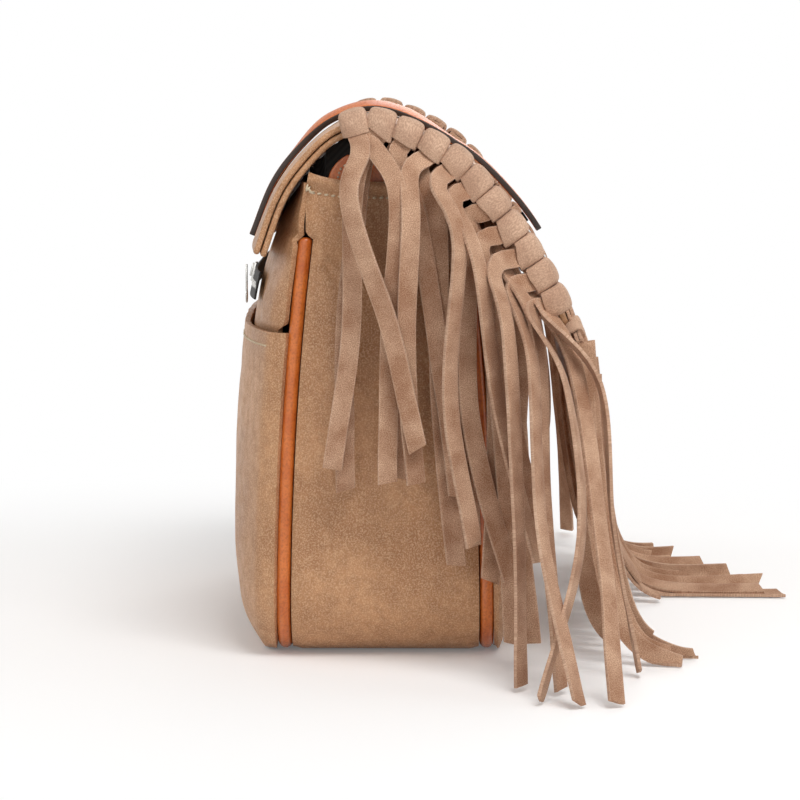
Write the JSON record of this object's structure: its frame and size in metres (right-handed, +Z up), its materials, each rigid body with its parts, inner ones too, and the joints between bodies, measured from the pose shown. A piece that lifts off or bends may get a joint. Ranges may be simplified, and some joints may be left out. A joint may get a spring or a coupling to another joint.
{
  "type": "fringed leather shoulder bag",
  "caption": "Soft leather bag with piped edges, a curved flap laced all round with suede fringe, a centre strap with a metal catch plate and a zip across the back.",
  "frame": {"origin": "centre of the flat base, on the ground it stands on", "axes": "+Z up, -Y towards the front of the bag, where the flap hangs, +X across its width"},
  "size_m": [0.473, 0.2768, 0.236],
  "materials": {
    "khaki_leather": "taupe khaki leather with a fine grain and a faint pearl sheen",
    "cognac_leather": "smooth cognac leather, half gloss",
    "suede": "split suede, brushed nap, cut edges",
    "black_cloth": "matte black woven cloth",
    "nickel": "satin nickel plating",
    "dark_metal": "dark lacquered metal"
  },
  "bodies": {
    "bag": {"gusset": "khaki_leather", "back_panel": "khaki_leather", "back_pocket": "khaki_leather", "front_panel": "khaki_leather", "piping_back": "cognac_leather", "piping_front": "cognac_leather", "lining": "black_cloth", "zip_tape": "black_cloth", "strap_tab_near": "cognac_leather", "strap_tab_far": "cognac_leather"},
    "flap": {"flap_outer": "khaki_leather", "flap_lining": "khaki_leather", "centre_strap": "cognac_leather", "closure_plate": "nickel", "closure_post": "dark_metal", "lace_near_01": "suede", "lace_near_02": "suede", "lace_near_03": "suede", "lace_near_04": "suede", "lace_near_05": "suede", "lace_near_06": "suede", "lace_near_07": "suede", "lace_near_08": "suede", "lace_near_09": "suede", "lace_near_10": "suede", "lace_near_11": "suede", "lace_far_01": "suede", "lace_far_02": "suede", "lace_far_03": "suede", "lace_far_04": "suede", "lace_far_05": "suede", "lace_far_06": "suede", "lace_far_07": "suede", "lace_far_08": "suede", "lace_far_09": "suede", "lace_far_10": "suede", "lace_far_11": "suede", "lace_front_01": "suede", "lace_front_02": "suede", "lace_front_03": "suede", "lace_front_04": "suede", "lace_front_05": "suede", "lace_front_06": "suede", "lace_front_07": "suede", "lace_front_08": "suede", "lace_front_09": "suede", "lace_front_10": "suede", "lace_front_11": "suede", "lace_front_12": "suede", "lace_front_13": "suede", "lace_front_14": "suede", "lace_front_15": "suede", "lace_front_16": "suede", "lace_front_17": "suede", "lace_front_18": "suede", "lace_front_19": "suede", "lace_front_20": "suede", "lace_front_21": "suede"},
    "slider": {"zip_slider": "nickel"},
    "pull": {"zip_pull": "nickel"}
  },
  "joints": [
    {"name": "flap_hinge", "type": "hinge", "parent": "bag", "child": "flap", "pos_m": [0, 0.062, 0.175], "axis": [-1, 0, 0], "range_deg": [0, 130]},
    {"name": "slider_slide", "type": "slide", "parent": "bag", "child": "slider", "axis": [1, 0, 0], "range_m": [-0.06, 0.06]},
    {"name": "pull_hinge", "type": "hinge", "parent": "slider", "child": "pull", "pos_m": [0, 0.066, 0.16045], "axis": [1, 0, 0], "range_deg": [0, 120]}
  ]
}
